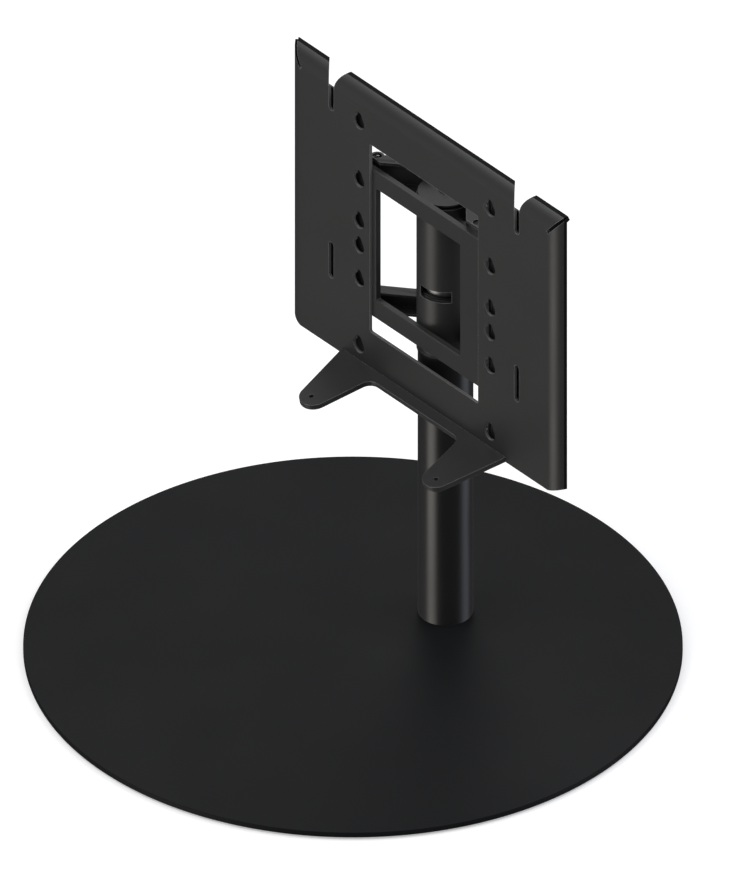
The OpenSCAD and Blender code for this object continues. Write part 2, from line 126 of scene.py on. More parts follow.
# Carrier frame and arms
FRAME_FRONT = -36 * MM
FRAME_T = 6.5 * MM
FRAME_BACK = FRAME_FRONT + FRAME_T
FRAME_SHIFT = 12.6 * MM
FRAME_W = 182 * MM
FRAME_BOTTOM = 343 * MM
FRAME_H = 177.5 * MM
LOW_BAR_H = 22 * MM
UP_BAR_H = 21 * MM
OPENING_W = 128 * MM
OPENING_R = 1.5 * MM
ARM_TURN = math.radians(40)
ARM_START = 12 * MM
ARM_OFFSET = 19.8 * MM
ARM_DEPTH = 15.6 * MM
ARM_T = 3 * MM
ARM_BEND_R = 3.6 * MM
ARM_REACH = 130 * MM
LOW_ARM_Z = 344.5 * MM
LOW_ARM_H = 25.5 * MM
UP_ARM_Z = 492.5 * MM
UP_ARM_H = 35.5 * MM
LUG_R = 7.2 * MM
LUG_HOLE_R = 4.8 * MM
LUG_REACH = 73.9 * MM
LUG_IN = 4.6 * MM

# Mounting plate, from the middle of its lower edge
PLATE_X = AXIS_X + FRAME_SHIFT
PLATE_BACK = AXIS_Y + FRAME_FRONT
PLATE_T = 3 * MM
PLATE_FRONT = PLATE_BACK - PLATE_T
PLATE_Z = 277 * MM
PLATE_W = 378 * MM
PLATE_H = 312 * MM
PLATE_ORIGIN = Vector((PLATE_X, PLATE_BACK, PLATE_Z))
BEND_X = PLATE_W / 2
SIDE_R = 22.5 * MM
TOP_R = 28 * MM
SWEEP = math.radians(55)
MITRE_GAP = 3.5 * MM
CURL_TAPER = 7 * MM
CURL_OUT = SIDE_R * math.sin(SWEEP)
CURL_RISE = TOP_R * math.sin(SWEEP)
MITRE_LEN = math.hypot(CURL_OUT, CURL_RISE)
MITRE_DROP = MITRE_GAP / 2 * MITRE_LEN / CURL_OUT
MITRE_SHIFT = MITRE_GAP / 2 * MITRE_LEN / CURL_RISE
WEB_LAP = 1 * MM
WEB_BITE = 0.3 * MM
CURL_DEPTH = TOP_R * (1 - math.cos(SWEEP))
WINDOW_W = 165 * MM
WINDOW_BOTTOM = 48.5 * MM
WINDOW_H = 226.5 * MM
WINDOW_R = 2 * MM
COLUMN_X = 100 * MM
TOP_ROW = 292 * MM
ROW_DROPS = [drop * MM for drop in (0, 70, 120, 150, 190, 270)]
KEY_R = 7.5 * MM
NECK_R = 4.25 * MM
NECK_RISE = 7 * MM
SLIT_X = 141.6 * MM
SLIT_R = 3.75 * MM
SLIT_BOTTOM = 82 * MM
SLIT_LEN = 43.5 * MM
NOTCH_BOTTOM = 284.5 * MM
NOTCH_TOP_HALF = 16.5 * MM

# Rails and ears
RAIL_W = 63.5 * MM
RAIL_D = 6 * MM
RAIL_T = 2 * MM
RAIL_INSET = 92.5 * MM
RAIL_BOTTOM = 2 * MM
RAIL_TOP = 306 * MM
EAR_T = 6 * MM
EAR_SLOPE = math.radians(10.7)
EAR_HALF_W = 125 * MM
EAR_WEB = 12 * MM
EAR_ROOT_X = 67.9 * MM
EAR_TIP_X = 94 * MM
EAR_REACH = 64 * MM
EAR_TIP_R = 15.5 * MM
EAR_FILLET = 12 * MM
EAR_HOLE_R = 2.5 * MM
EAR_HOLE_X = 95 * MM
EAR_HOLE_REACH = 67 * MM

# Edge breaks of the laser-cut, bent and turned pieces
SHEET_EDGE = 0.7 * MM
BAR_EDGE = 0.8 * MM
KEY_EDGE = 1.6 * MM
TURNED_EDGE = 0.5 * MM
SMALL_EDGE = 0.25 * MM
RIM_EDGE = 0.8 * MM
EDGE_STEPS = 3
SHARP = math.radians(32)

# Where the plate's coat is painted: the angle round the curls from which rolled faces get painted shade, and the
# margin and normal limits that pick notch walls for painted shade and cut walls for painted light
PAINTED_SHADE_FROM = math.radians(47)
RIM_MARGIN = 5 * MM
ASIDE = 0.5
AHEAD = 0.8

ROUND = 120
BASE_ROUND = 256
SMALL_ROUND = 48
EAR_HOLE_ROUND = 32
WEB_ROUND = 180
CURL_STEPS = 14
BEND_STEPS = 5
DOME_STEPS = 8
KEY_STEPS = 28
KEY_EDGE_STEPS = 4
NECK_STEPS = 14
SLIT_STEPS = 12
EAR_TIP_STEPS = 24
EAR_FILLET_STEPS = 12


def only(piece):
    """Makes a piece the one that is selected and active."""
    bpy.ops.object.select_all(action="DESELECT")
    piece.select_set(True)
    bpy.context.view_layer.objects.active = piece


def reopen(piece):
    """Opens the mesh of a piece again, with all of it selected."""
    only(piece)
    bpy.ops.object.mode_set(mode="EDIT")
    bpy.ops.mesh.select_all(action="SELECT")


def begin(name):
    """Names the primitive that was just added, puts its place in its mesh and opens it."""
    piece = bpy.context.active_object
    piece.name = name
    piece.data.name = name
    bpy.ops.object.transform_apply(location=True, rotation=True, scale=True)
    bpy.ops.object.mode_set(mode="EDIT")
    bpy.ops.mesh.select_mode(type="VERT")
    bpy.ops.mesh.select_all(action="SELECT")
    return piece


def close():
    """Turns the open mesh's faces outwards and leaves edit mode."""
    bpy.ops.mesh.select_all(action="SELECT")
    bpy.ops.mesh.remove_doubles(threshold=SAME_PLACE)
    bpy.ops.mesh.normals_make_consistent(inside=False)
    bpy.ops.object.mode_set(mode="OBJECT")


def pick(kind, test):
    """Selects the faces, edges or vertices of the open mesh whose place passes the test."""
    bpy.ops.mesh.select_mode(type=kind)
    bpy.ops.mesh.select_all(action="DESELECT")
    data = bpy.context.active_object.data
    mesh = bmesh.from_edit_mesh(data)
    if kind == "FACE":
        for face in mesh.faces:
            face.select_set(test(face.calc_center_median(), face.normal))
    elif kind == "EDGE":
        for edge in mesh.edges:
            a, b = (v.co for v in edge.verts)
            edge.select_set(test(a, b))
    else:
        for vert in mesh.verts:
            vert.select_set(test(vert.co))
    mesh.select_flush_mode()
    bmesh.update_edit_mesh(data)


def draw(name, points, shape="face"):
    """Starts a piece from one vertex, extruded from point to point of its outline.

    The outline ends as a face, as a ring of edges, or stays an open line."""
    bpy.ops.object.select_all(action="DESELECT")
    bpy.ops.mesh.primitive_plane_add(size=MM, location=points[0])
    piece = begin(name)
    bpy.ops.mesh.merge(type="CENTER")
    for last, here in zip(points, points[1:]):
        bpy.ops.mesh.extrude_region_move(TRANSFORM_OT_translate={"value": here - last})
    if shape == "face":
        bpy.ops.mesh.select_all(action="SELECT")
        bpy.ops.mesh.edge_face_add()
    elif shape == "ring":
        ends = (points[0], points[-1])
        pick("VERT", lambda co: min((co - end).length for end in ends) < SAME_PLACE)
        bpy.ops.mesh.edge_face_add()
    return piece


def extrude_all(way):
    """Extrudes the open face into a block."""
    bpy.ops.mesh.select_all(action="SELECT")
    bpy.ops.mesh.extrude_region_move(TRANSFORM_OT_translate={"value": way})


def prism(name, points, way):
    """A flat outline made into a block of some length."""
    piece = draw(name, points)
    extrude_all(way)
    close()
    return piece


def turned(name, outline, steps=ROUND, centre=POLE_AXIS):
    """An outline of radii and heights, turned once round an upright axis."""
    points = [centre + Vector((r, 0, z)) for r, z in outline]
    solid = outline[0][0] == 0
    piece = draw(name, points, "line" if solid else "ring")
    bpy.ops.mesh.select_all(action="SELECT")
    bpy.ops.mesh.spin(steps=steps, angle=TURN, center=centre, axis=UP)
    close()
    return piece


def arc(centre, r, start, end, steps):
    """Points on an arc of a flat outline, with both its ends."""
    turn = (end - start) / steps
    return [
        (centre[0] + r * math.cos(start + turn * i), centre[1] + r * math.sin(start + turn * i))
        for i in range(steps + 1)
    ]


def on_plate(points, y):
    """Points of an outline seen from the front, set on the mounting plate at some depth."""
    return [PLATE_ORIGIN + Vector((x, y, z)) for x, z in points]


def cut_out(piece, cutters, operation="DIFFERENCE"):
    """Takes the cutters away from the piece, or adds them, one by one, and deletes them."""
    for cutter in cutters:
        only(piece)
        modifier = piece.modifiers.new("cut", "BOOLEAN")
        modifier.operation = operation
        modifier.solver = "EXACT"
        modifier.object = cutter
        bpy.ops.object.modifier_apply(modifier=modifier.name)
        bpy.data.objects.remove(cutter)


def joined(name, pieces):
    """Several meshes as one piece."""
    bpy.ops.object.select_all(action="DESELECT")
    for piece in pieces:
        piece.select_set(True)
    bpy.context.view_layer.objects.active = pieces[0]
    if len(pieces) > 1:
        bpy.ops.object.join()
    whole = bpy.context.active_object
    whole.name = name
    whole.data.name = name
    return whole


def copy_of(piece, name):
    """A copy of a piece with a mesh of its own."""
    only(piece)
    bpy.ops.object.duplicate(linked=False)
    twin = bpy.context.active_object
    twin.name = name
    twin.data.name = name
    return twin


def turn_round(piece, angle, centre):
    """Turns a piece about an upright line, with the turn kept in its mesh."""
    reopen(piece)
    bpy.ops.transform.rotate(value=-angle, orient_axis="Z", center_override=centre)
    bpy.ops.object.mode_set(mode="OBJECT")


def mirrored(piece, name, x):
    """The left-hand twin of a right-hand piece, mirrored across an upright plane at x."""
    twin = copy_of(piece, name)
    reopen(twin)
    bpy.ops.transform.mirror(
        orient_type="GLOBAL", constraint_axis=(True, False, False), center_override=(x, 0, 0)
    )
    close()
    return twin


def soften(piece, width, steps=EDGE_STEPS, sharp=SHARP):
    """Breaks the sharp edges of a piece and shades its faces smoothly between them."""
    reopen(piece)
    bpy.ops.mesh.remove_doubles(threshold=SAME_PLACE)
    bpy.ops.mesh.dissolve_limited(angle_limit=FLAT)
    bpy.ops.object.mode_set(mode="OBJECT")
    modifier = piece.modifiers.new("edges", "BEVEL")
    modifier.width = width
    modifier.segments = steps
    modifier.limit_method = "ANGLE"
    modifier.angle_limit = sharp
    modifier.use_clamp_overlap = True
    modifier.miter_outer = "MITER_ARC"
    bpy.ops.object.modifier_apply(modifier=modifier.name)
    bpy.ops.object.shade_smooth_by_angle(angle=sharp)
    modifier = piece.modifiers.new("faces", "WEIGHTED_NORMAL")
    modifier.keep_sharp = True
    bpy.ops.object.modifier_apply(modifier=modifier.name)
    return piece


def floor_plate():
    """Round steel plate with a rounded rim and countersunk holes under the pole."""
    bpy.ops.object.select_all(action="DESELECT")
    bpy.ops.mesh.primitive_circle_add(
        vertices=BASE_ROUND, radius=BASE_R, fill_type="NGON", location=(0, 0, PAD_H)
    )
    piece = begin("floor_plate")
    extrude_all((0, 0, BASE_T))
    close()
    sink = SCREW_HEAD_R - SCREW_HOLE_R
    outline = [
        (0, PAD_H - OVERRUN),
        (SCREW_HEAD_R, PAD_H - OVERRUN),
        (SCREW_HEAD_R, PAD_H),
        (SCREW_HOLE_R, PAD_H + sink),
        (SCREW_HOLE_R, POLE_BOTTOM + OVERRUN),
        (0, POLE_BOTTOM + OVERRUN),
    ]
    cut_out(piece, [turned("hole", outline, SMALL_ROUND, spot) for spot in screw_spots()])
    return soften(piece, RIM_EDGE)


def screw_spots():
    """Places of the screws under the pole."""
    spots = []
    for i in range(SCREW_COUNT):
        angle = (i + 1 / 2) * TURN / SCREW_COUNT - BASE_TURN
        spots.append(POLE_AXIS + SCREW_CIRCLE_R * Vector((math.cos(angle), math.sin(angle), 0)))
    return spots


def bar(name, sides, r, length, centre, rotation=(0, 0, 0)):
    """A round or six-sided bar, as a cutter or as the blank of a screw."""
    bpy.ops.object.select_all(action="DESELECT")
    bpy.ops.mesh.primitive_cylinder_add(
        vertices=sides, radius=r, depth=length, location=centre, rotation=rotation
    )
    piece = begin(name)
    bpy.ops.object.mode_set(mode="OBJECT")
    return piece


def socket(piece, mouth, r, rotation=(0, 0, 0)):
    """Cuts a key's six-sided socket into a screw."""
    cut_out(piece, [bar("socket", 6, r, 2 * SOCKET_DEPTH, mouth, rotation)])


def foot_pads():
    """Ring of rubber pads with a groove round their soles."""
    outline = [(r * MM, z * MM) for r, z in PAD_SOLE] + [(PAD_R, PAD_H), (0, PAD_H)]
    spot = Vector((PAD_RING_R, 0, 0))
    first = turned("foot_pad", outline, SMALL_ROUND, spot)
    turn_round(first, TURN / PAD_COUNT / 2, (0, 0, 0))
    pads = [first]
    for i in range(1, PAD_COUNT):
        pad = copy_of(first, "foot_pad")
        turn_round(pad, i * TURN / PAD_COUNT, (0, 0, 0))
        pads.append(pad)
    return soften(joined("foot_pads", pads), SMALL_EDGE, 1)


def pole():
    """Steel tube with broken edges at both ends."""
    inner = POLE_R - POLE_WALL
    outline = [(inner, POLE_BOTTOM), (POLE_R, POLE_BOTTOM), (POLE_R, POLE_TOP), (inner, POLE_TOP)]
    return soften(turned("pole", outline), TURNED_EDGE)


def floor_screws():
    """Countersunk screws with hexagonal sockets, up through the floor plate."""
    spots = screw_spots()
    outline = [
        (0, PAD_H),
        (SCREW_HEAD_R, PAD_H),
        (SCREW_R, PAD_H + SCREW_HEAD_R - SCREW_R),
        (SCREW_R, PAD_H + SCREW_LENGTH),
        (0, PAD_H + SCREW_LENGTH),
    ]
    first = turned("floor_screw", outline, SMALL_ROUND, spots[0])
    socket(first, spots[0] + UP * PAD_H, SOCKET_R)
    soften(first, SMALL_EDGE)
    screws = [first]
    for i in range(1, len(spots)):
        screw = copy_of(first, "floor_screw")
        turn_round(screw, i * TURN / len(spots), POLE_AXIS)
        screws.append(screw)
    return joined("floor_screws", screws)


def sleeve():
    """Turning tube of the head, with its slot at the front and the stop screw's hole behind."""
    outline = [
        (SLEEVE_BORE_R, SLEEVE_BOTTOM),
        (SLEEVE_R, SLEEVE_BOTTOM),
        (SLEEVE_R, SLEEVE_TOP),
        (SLEEVE_BORE_R, SLEEVE_TOP),
    ]
    piece = turned("sleeve", outline)
    half = SLOT_W / 2
    slot_base = POLE_AXIS + UP * SLOT_BOTTOM
    corners = [(-half, 0), (half, 0), (half, -SLEEVE_R - OVERRUN), (-half, -SLEEVE_R - OVERRUN)]
    slot = prism("slot", [slot_base + Vector((x, y, 0)) for x, y in corners], UP * SLOT_H)
    turn_round(slot, SLOT_TURN, POLE_AXIS)
    centre = POLE_AXIS + Vector((0, SLEEVE_R, STOP_Z))
    hole = bar("stop_hole", SMALL_ROUND, STOP_HOLE_R, SLEEVE_R, centre, FRONT_TO_BACK)
    cut_out(piece, [slot, hole])
    return soften(piece, TURNED_EDGE)


def lower_bush():
    """Flanged plastic bush under the sleeve; its long body ends inside the slot."""
    body = SLEEVE_BORE_R - NEAR
    outline = [
        (BUSH_R, LOWER_FLANGE_BOTTOM),
        (SLEEVE_R, LOWER_FLANGE_BOTTOM),
        (SLEEVE_R, SLEEVE_BOTTOM),
        (body, SLEEVE_BOTTOM),
        (body, LOWER_BUSH_TOP),
        (BUSH_R, LOWER_BUSH_TOP),
    ]
    return soften(turned("lower_bush", outline), TURNED_EDGE)


def upper_bush():
    """Flanged plastic bush in the upper end of the sleeve."""
    body = SLEEVE_BORE_R - NEAR
    outline = [
        (BUSH_R, UPPER_FLANGE_TOP),
        (UPPER_FLANGE_R, UPPER_FLANGE_TOP),
        (UPPER_FLANGE_R, SLEEVE_TOP),
        (body, SLEEVE_TOP),
        (body, UPPER_BUSH_BOTTOM),
        (BUSH_R, UPPER_BUSH_BOTTOM),
    ]
    return soften(turned("upper_bush", outline), TURNED_EDGE)


def stop_screw():
    """Headless screw in the back of the sleeve."""
    centre = POLE_AXIS + Vector((0, (STOP_END + STOP_TIP) / 2, STOP_Z))
    length = STOP_END - STOP_TIP
    piece = bar("stop_screw", SMALL_ROUND, STOP_R, length, centre, FRONT_TO_BACK)
    socket(piece, POLE_AXIS + Vector((0, STOP_END, STOP_Z)), STOP_SOCKET_R, FRONT_TO_BACK)
    return soften(piece, SMALL_EDGE)


def top_cap():
    """Steel disc that keeps the head on the spindle."""
    outline = [
        (CAP_HOLE_R, CAP_BOTTOM),
        (CAP_R, CAP_BOTTOM),
        (CAP_R, CAP_TOP),
        (CAP_HOLE_R, CAP_TOP),
    ]
    return soften(turned("top_cap", outline), TURNED_EDGE)


def cap_screw():
    """Button-headed screw in the middle of the cap."""
    drop = (CAP_HEAD_R**2 - CAP_DOME_H**2) / (2 * CAP_DOME_H)
    ball_r = drop + CAP_DOME_H
    start = math.asin(drop / ball_r)
    end = math.asin((drop + CAP_HEAD_H) / ball_r)
    dome = arc((0, CAP_TOP - drop), ball_r, start, end, DOME_STEPS)
    outline = [
        (0, CAP_TOP - CAP_SCREW_LEN),
        (SCREW_R, CAP_TOP - CAP_SCREW_LEN),
        (SCREW_R, CAP_TOP),
        *dome,
        (0, CAP_TOP + CAP_HEAD_H),
    ]
    piece = turned("cap_screw", outline, SMALL_ROUND)
    socket(piece, POLE_AXIS + UP * (CAP_TOP + CAP_HEAD_H), SOCKET_R)
    return soften(piece, SMALL_EDGE)


def rounded_rectangle(x, z, w, h, r):
    """Outline of a rectangle with its lower left corner at x, z and four round corners."""
    quarter = TURN / 4
    corners = [(x + w - r, z + r), (x + w - r, z + h - r), (x + r, z + h - r), (x + r, z + r)]
    points = []
    for i, corner in enumerate(corners):
        points += arc(corner, r, (i - 1) * quarter, i * quarter, BEND_STEPS)
    return points


def carrier_frame():
    """Thick frame between the arms and the mounting plate."""
    left = AXIS_X + FRAME_SHIFT - FRAME_W / 2
    front = AXIS_Y + FRAME_FRONT
    sides = [
        (left, FRAME_BOTTOM),
        (left + FRAME_W, FRAME_BOTTOM),
        (left + FRAME_W, FRAME_BOTTOM + FRAME_H),
        (left, FRAME_BOTTOM + FRAME_H),
    ]
    piece = prism("carrier_frame", [Vector((x, front, z)) for x, z in sides], (0, FRAME_T, 0))
    opening = rounded_rectangle(
        AXIS_X - OPENING_W / 2,
        FRAME_BOTTOM + LOW_BAR_H,
        OPENING_W,
        FRAME_H - LOW_BAR_H - UP_BAR_H,
        OPENING_R,
    )
    start = front - OVERRUN
    points = [Vector((x, start, z)) for x, z in opening]
    cut_out(piece, [prism("opening", points, (0, FRAME_T + 2 * OVERRUN, 0))])
    return soften(piece, BAR_EDGE)


def arm(name, z, h, lug):
    """Channel arm on the right: a bent section coped round the sleeve and cut at the frame."""
    out = ARM_OFFSET + ARM_DEPTH
    inner_r = ARM_BEND_R - ARM_T
    quarter = TURN / 4
    low, high = (out - ARM_BEND_R, ARM_BEND_R), (out - ARM_BEND_R, h - ARM_BEND_R)
    section = [
        (ARM_OFFSET, 0),
        *arc(low, ARM_BEND_R, -quarter, 0, BEND_STEPS),
        *arc(high, ARM_BEND_R, 0, quarter, BEND_STEPS),
        (ARM_OFFSET, h),
        (ARM_OFFSET, h - ARM_T),
        *arc(high, inner_r, quarter, 0, BEND_STEPS),
        *arc(low, inner_r, 0, -quarter, BEND_STEPS),
        (ARM_OFFSET, ARM_T),
    ]
    base = POLE_AXIS + UP * z
    points = [base + Vector((ARM_START, y, height)) for y, height in section]
    piece = prism(name, points, (ARM_REACH, 0, 0))
    if lug:
        centre = base + Vector((LUG_REACH, out - LUG_IN, h - ARM_T))
        ring = arc((centre.x, centre.y), LUG_R, 0, TURN, SMALL_ROUND)[:-1]
        disc = prism("lug", [Vector((x, y, centre.z)) for x, y in ring], UP * ARM_T)
        cut_out(piece, [disc], "UNION")
        ring = arc((centre.x, centre.y), LUG_HOLE_R, 0, TURN, SMALL_ROUND)[:-1]
        points = [Vector((x, y, centre.z)) for x, y in ring]
        cut_out(piece, [prism("lug_hole", points, UP * (ARM_T + OVERRUN))])
    turn_round(piece, -ARM_TURN, POLE_AXIS)
    outline = [
        (0, z - OVERRUN),
        (SLEEVE_R, z - OVERRUN),
        (SLEEVE_R, z + h + OVERRUN),
        (0, z + h + OVERRUN),
    ]
    cut_out(piece, [turned("cope", outline)])
    reopen(piece)
    trim((AXIS_X, AXIS_Y + FRAME_BACK, 0), (0, -1, 0), filled=True)
    close()
    return soften(piece, SHEET_EDGE)


def trim(place, normal, filled=False):
    """Cuts the open mesh by a plane and clears the side that the normal points to."""
    bpy.ops.mesh.select_all(action="SELECT")
    bpy.ops.mesh.bisect(
        plane_co=place, plane_no=normal, use_fill=filled, clear_outer=True, threshold=SAME_PLACE
    )


def curl_strip(name, start, end, centre, axis):
    """A straight edge of the mounting plate, spun into a curl, clockwise round its axis."""
    bpy.ops.object.select_all(action="DESELECT")
    bpy.ops.mesh.primitive_plane_add(size=MM, location=start)
    strip = begin(name)
    bpy.ops.mesh.merge(type="CENTER")
    bpy.ops.mesh.extrude_region_move(TRANSFORM_OT_translate={"value": end - start})
    bpy.ops.mesh.select_all(action="SELECT")
    bpy.ops.mesh.spin(steps=CURL_STEPS, angle=SWEEP, center=centre, axis=axis)
    return strip


def rolled_sheet():
    """The mounting plate's front surface: flat, rolled at its top and sides, and mitred."""
    half = BEND_X - MITRE_SHIFT
    mitre = PLATE_H - MITRE_DROP
    corners = [
        (-BEND_X, 0),
        (BEND_X, 0),
        (BEND_X, mitre),
        (BEND_X, PLATE_H),
        (half, PLATE_H),
        (-half, PLATE_H),
        (-BEND_X, PLATE_H),
        (-BEND_X, mitre),
    ]
    flat = draw("flat", on_plate(corners, -PLATE_T))
    close()
    low, high = on_plate([(BEND_X, 0), (BEND_X, PLATE_H + CURL_RISE)], -PLATE_T)
    middle = PLATE_ORIGIN + Vector((BEND_X, SIDE_R - PLATE_T, 0))
    right = curl_strip("right_curl", low, high, middle, -UP)
    trim(PLATE_ORIGIN + Vector((BEND_X, 0, mitre)), (-CURL_RISE, 0, CURL_OUT))
    trim(PLATE_ORIGIN + Vector((BEND_X, 0, 0)), (CURL_TAPER, 0, -CURL_OUT))
    bpy.ops.object.mode_set(mode="OBJECT")
    left = mirrored(right, "left_curl", PLATE_X)
    reach = BEND_X + CURL_OUT
    start, end = on_plate([(-reach, PLATE_H), (reach, PLATE_H)], -PLATE_T)
    middle = PLATE_ORIGIN + Vector((0, TOP_R - PLATE_T, PLATE_H))
    top = curl_strip("top_curl", start, end, middle, (1, 0, 0))
    for side in (-1, 1):
        place = PLATE_ORIGIN + Vector((side * half, 0, PLATE_H))
        trim(place, (side * CURL_RISE, 0, -CURL_OUT))
    bpy.ops.object.mode_set(mode="OBJECT")
    sheet = joined("mounting_plate", [flat, right, left, top])
    bpy.ops.object.mode_set(mode="EDIT")
    close()
    if max(sheet.data.polygons, key=lambda face: face.area).normal.y > 0:
        bpy.ops.object.mode_set(mode="EDIT")
        bpy.ops.mesh.flip_normals()
        bpy.ops.object.mode_set(mode="OBJECT")
    return sheet


def mounting_plate():
    """Drilled plate with its rolled top and sides, mitred at the upper corners."""
    piece = rolled_sheet()
    modifier = piece.modifiers.new("sheet", "SOLIDIFY")
    modifier.thickness = PLATE_T
    modifier.offset = -1
    modifier.use_even_offset = True
    bpy.ops.object.modifier_apply(modifier=modifier.name)
    right_web = mitre_web()
    left_web = mirrored(right_web, "left_web", PLATE_X)
    cut_out(piece, [right_web, left_web], "UNION")
    cut_out(piece, plate_cutters())
    round_keyholes(piece)
    return soften(piece, SHEET_EDGE)


def round_keyholes(piece):
    """Rolls the front edges of the keyholes inwards."""
    spots = [
        PLATE_ORIGIN + Vector((side * COLUMN_X, -PLATE_T, TOP_ROW - drop))
        for side in (-1, 1)
        for drop in ROW_DROPS
    ]
    reopen(piece)
    bpy.ops.mesh.dissolve_limited(angle_limit=FLAT)

    def on_rim(a, b):
        ahead = max(a.y, b.y) < PLATE_FRONT + SAME_PLACE
        return ahead and any(
            max((a - spot).length, (b - spot).length) < KEY_R + NECK_R for spot in spots
        )

    pick("EDGE", on_rim)
    bpy.ops.mesh.bevel(
        offset=KEY_EDGE, segments=KEY_EDGE_STEPS, affect="EDGES", clamp_overlap=False
    )
    bpy.ops.object.mode_set(mode="OBJECT")


def plate_cutters():
    """Cutters for the window, the keyholes, the slots and the notches of the plate."""
    through = (0, PLATE_T + 2 * OVERRUN, 0)
    front = -PLATE_T - OVERRUN
    window = rounded_rectangle(-WINDOW_W / 2, WINDOW_BOTTOM, WINDOW_W, WINDOW_H, WINDOW_R)
    cutters = [prism("window", on_plate(window, front), through)]
    for side in (-1, 1):
        for drop in ROW_DROPS:
            outline = keyhole(side * COLUMN_X, TOP_ROW - drop)
            cutters.append(prism("keyhole", on_plate(outline, front), through))
        outline = slit(side * SLIT_X, SLIT_BOTTOM, SLIT_LEN)
        cutters.append(prism("slot", on_plate(outline, front), through))
        outline = slit(side * SLIT_X, NOTCH_BOTTOM, PLATE_H - NOTCH_BOTTOM + 2 * SLIT_R)
        cutters.append(prism("notch_slot", on_plate(outline, front), through))
        base = PLATE_ORIGIN + Vector((side * SLIT_X, -PLATE_T, PLATE_H))
        points = [base + Vector((x, y, 0)) for x, y in notch()]
        cutters.append(prism("notch", points, UP * (CURL_RISE + OVERRUN)))
    return cutters


def keyhole(x, z):
    """Outline of a keyhole: a round entry with a narrower neck above it."""
    meet = math.asin(NECK_R / KEY_R)
    quarter = TURN / 4
    entry = arc((x, z), KEY_R, quarter + meet, TURN + quarter - meet, KEY_STEPS)
    neck = arc((x, z + NECK_RISE), NECK_R, 0, TURN / 2, NECK_STEPS)
    return entry + neck


def slit(x, z, length):
    """Outline of a narrow slot with round ends, from its lower end upwards."""
    upper = arc((x, z + length - SLIT_R), SLIT_R, 0, TURN / 2, SLIT_STEPS)
    lower = arc((x, z + SLIT_R), SLIT_R, TURN / 2, TURN, SLIT_STEPS)
    return upper + lower


def notch():
    """Outline of a notch in the curl, seen from above: a slot that spreads to the rear."""
    wide, rear = 2 * NOTCH_TOP_HALF - SLIT_R, 2 * CURL_DEPTH
    right = [(SLIT_R, -OVERRUN), (SLIT_R, 0), (wide, rear)]
    return right + [(-x, y) for x, y in reversed(right)]


def mitre_web():
    """Web behind the gap of the right mitre, seated on the inner sides of both curls."""
    half = MITRE_GAP / 2 + WEB_LAP
    run = MITRE_LEN * (SIDE_R - PLATE_T) / SIDE_R
    along = Vector((CURL_OUT, 0, CURL_RISE)).normalized()
    across = Vector((along.z, 0, -along.x))
    corner = PLATE_ORIGIN + Vector((BEND_X, -PLATE_T, PLATE_H))
    corners = [(-WEB_LAP, -half), (run, -half), (run, half), (-WEB_LAP, half)]
    points = [corner + along * a + across * b for a, b in corners]
    inner_depth = (TOP_R - PLATE_T) * (1 - math.cos(SWEEP))
    web = prism("mitre_web", points, (0, PLATE_T + inner_depth, 0))
    top = corner + Vector((0, TOP_R, 0))
    side = corner + Vector((0, SIDE_R, 0))
    for name, centre, curl_r, rotation in (
        ("top_inside", top, TOP_R, SIDE_TO_SIDE),
        ("side_inside", side, SIDE_R, (0, 0, 0)),
    ):
        inner = curl_r - PLATE_T + WEB_BITE
        inside = bar(name, WEB_ROUND, inner, 4 * MITRE_LEN, centre, rotation)
        cut_out(web, [inside], "INTERSECT")
    return web


def rail():
    """Shallow channel behind the right column of keyholes."""
    quarter = TURN / 4
    left, right = RAIL_INSET, RAIL_INSET + RAIL_W
    bend_y = RAIL_D - RAIL_T
    section = [
        (left + RAIL_T, 0),
        (left + RAIL_T, bend_y),
        (right - RAIL_T, bend_y),
        (right - RAIL_T, 0),
        (right, 0),
        *arc((right - RAIL_T, bend_y), RAIL_T, 0, quarter, BEND_STEPS),
        *arc((left + RAIL_T, bend_y), RAIL_T, quarter, 2 * quarter, BEND_STEPS),
        (left, 0),
    ]
    base = PLATE_ORIGIN + UP * RAIL_BOTTOM
    points = [base + Vector((x, y, 0)) for x, y in section]
    return soften(prism("rail_right", points, UP * (RAIL_TOP - RAIL_BOTTOM)), SMALL_EDGE)


def touch_point(point, centre, r, side):
    """Point where the tangent from a point touches a circle."""
    dx, dy = centre[0] - point[0], centre[1] - point[1]
    span = math.hypot(dx, dy)
    along = math.sqrt(span**2 - r**2)
    angle = math.atan2(dy, dx) + side * math.asin(r / span)
    return point[0] + along * math.cos(angle), point[1] + along * math.sin(angle)


def ear_half():
    """Right half of the ear bracket's outline, from its outer corner round to its web."""
    outer, root, tip = (EAR_HALF_W, 0), (EAR_ROOT_X, EAR_WEB), (EAR_TIP_X, EAR_REACH)
    leave = touch_point(outer, tip, EAR_TIP_R, -1)
    meet = touch_point(root, tip, EAR_TIP_R, 1)
    start = math.atan2(leave[1] - tip[1], leave[0] - tip[0])
    end = math.atan2(meet[1] - tip[1], meet[0] - tip[0])
    lean = math.atan2(meet[1] - root[1], meet[0] - root[0])
    half = (math.pi - lean) / 2
    reach = EAR_FILLET / math.sin(half)
    centre = (root[0] - reach * math.cos(half), root[1] + reach * math.sin(half))
    return [
        (EAR_HALF_W, -EAR_T),
        outer,
        *arc(tip, EAR_TIP_R, start, end % TURN, EAR_TIP_STEPS),
        *arc(centre, EAR_FILLET, lean - TURN / 4, -TURN / 4, EAR_FILLET_STEPS),
    ]


